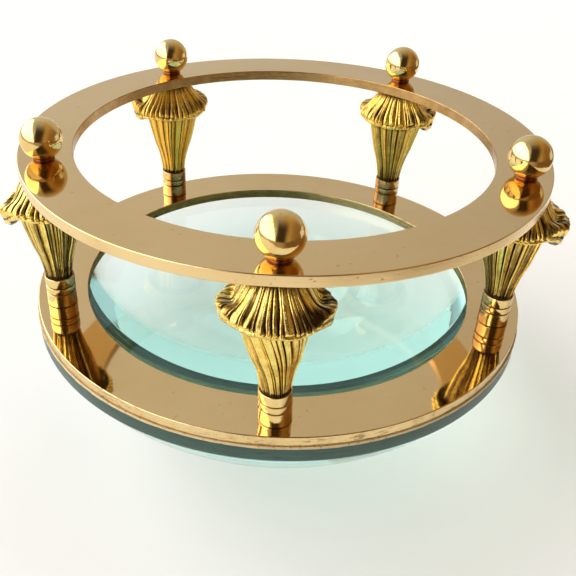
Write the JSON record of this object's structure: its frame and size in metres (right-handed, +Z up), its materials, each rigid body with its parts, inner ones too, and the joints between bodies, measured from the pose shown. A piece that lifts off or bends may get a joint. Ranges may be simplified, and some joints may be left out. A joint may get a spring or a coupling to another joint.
{
  "type": "desk magnifier",
  "caption": "Round brass desk magnifier: a thick plano-convex dome lens under a flat ring, ornate torch columns carrying an upper ring with ball finials.",
  "frame": {"origin": "on the lens axis at the crown of the dome, the point the object rests on", "axes": "+Z up along the lens axis from the dome to the ball finials; -Y towards the first column"},
  "size_m": [0.1035, 0.1043, 0.0712],
  "materials": {
    "ring_brass": "satin polished plate",
    "cast_brass": "polished casting, dark in the grooves",
    "turned_brass": "polished",
    "lens_glass": "polished, green at the edge",
    "adhesive": "cured cement bead",
    "screw_steel": "plain"
  },
  "bodies": {
    "stand": {"top_ring": "ring_brass", "lens_ring": "ring_brass", "lens": "lens_glass", "lens_adhesive": "adhesive", "foot_ferrule_1": "turned_brass", "foot_ferrule_2": "turned_brass", "foot_ferrule_3": "turned_brass", "foot_ferrule_4": "turned_brass", "foot_ferrule_5": "turned_brass", "fluted_shaft_1": "cast_brass", "fluted_shaft_2": "cast_brass", "fluted_shaft_3": "cast_brass", "fluted_shaft_4": "cast_brass", "fluted_shaft_5": "cast_brass", "capital_1": "cast_brass", "capital_2": "cast_brass", "capital_3": "cast_brass", "capital_4": "cast_brass", "capital_5": "cast_brass", "foot_screw_1": "screw_steel", "foot_screw_2": "screw_steel", "foot_screw_3": "screw_steel", "foot_screw_4": "screw_steel", "foot_screw_5": "screw_steel"},
    "stud_1": {"finial_stud_1": "screw_steel"},
    "ball_1": {"ball_finial_1": "turned_brass"},
    "stud_2": {"finial_stud_2": "screw_steel"},
    "ball_2": {"ball_finial_2": "turned_brass"},
    "stud_3": {"finial_stud_3": "screw_steel"},
    "ball_3": {"ball_finial_3": "turned_brass"},
    "stud_4": {"finial_stud_4": "screw_steel"},
    "ball_4": {"ball_finial_4": "turned_brass"},
    "stud_5": {"finial_stud_5": "screw_steel"},
    "ball_5": {"ball_finial_5": "turned_brass"}
  },
  "joints": [
    {"name": "finial_lift_1", "type": "slide", "parent": "stand", "child": "stud_1", "axis": [0, 0, 1], "range_m": [0, 0.005]},
    {"name": "finial_turn_1", "type": "hinge", "parent": "stud_1", "child": "ball_1", "pos_m": [0, -0.0452, 0.06735], "axis": [0, 0, 1], "range_deg": [0, 3604]},
    {"name": "finial_lift_2", "type": "slide", "parent": "stand", "child": "stud_2", "axis": [0, 0, 1], "range_m": [0, 0.005]},
    {"name": "finial_turn_2", "type": "hinge", "parent": "stud_2", "child": "ball_2", "pos_m": [0.04299, -0.01397, 0.06735], "axis": [0, 0, 1], "range_deg": [0, 3604]},
    {"name": "finial_lift_3", "type": "slide", "parent": "stand", "child": "stud_3", "axis": [0, 0, 1], "range_m": [0, 0.005]},
    {"name": "finial_turn_3", "type": "hinge", "parent": "stud_3", "child": "ball_3", "pos_m": [0.02657, 0.03657, 0.06735], "axis": [0, 0, 1], "range_deg": [0, 3604]},
    {"name": "finial_lift_4", "type": "slide", "parent": "stand", "child": "stud_4", "axis": [0, 0, 1], "range_m": [0, 0.005]},
    {"name": "finial_turn_4", "type": "hinge", "parent": "stud_4", "child": "ball_4", "pos_m": [-0.02657, 0.03657, 0.06735], "axis": [0, 0, 1], "range_deg": [0, 3604]},
    {"name": "finial_lift_5", "type": "slide", "parent": "stand", "child": "stud_5", "axis": [0, 0, 1], "range_m": [0, 0.005]},
    {"name": "finial_turn_5", "type": "hinge", "parent": "stud_5", "child": "ball_5", "pos_m": [-0.04299, -0.01397, 0.06735], "axis": [0, 0, 1], "range_deg": [0, 3604]}
  ],
  "couplings": [
    {"joint": "finial_turn_1", "follows": "finial_lift_1", "rad_per_m": 12566},
    {"joint": "finial_turn_2", "follows": "finial_lift_2", "rad_per_m": 12566},
    {"joint": "finial_turn_3", "follows": "finial_lift_3", "rad_per_m": 12566},
    {"joint": "finial_turn_4", "follows": "finial_lift_4", "rad_per_m": 12566},
    {"joint": "finial_turn_5", "follows": "finial_lift_5", "rad_per_m": 12566}
  ]
}
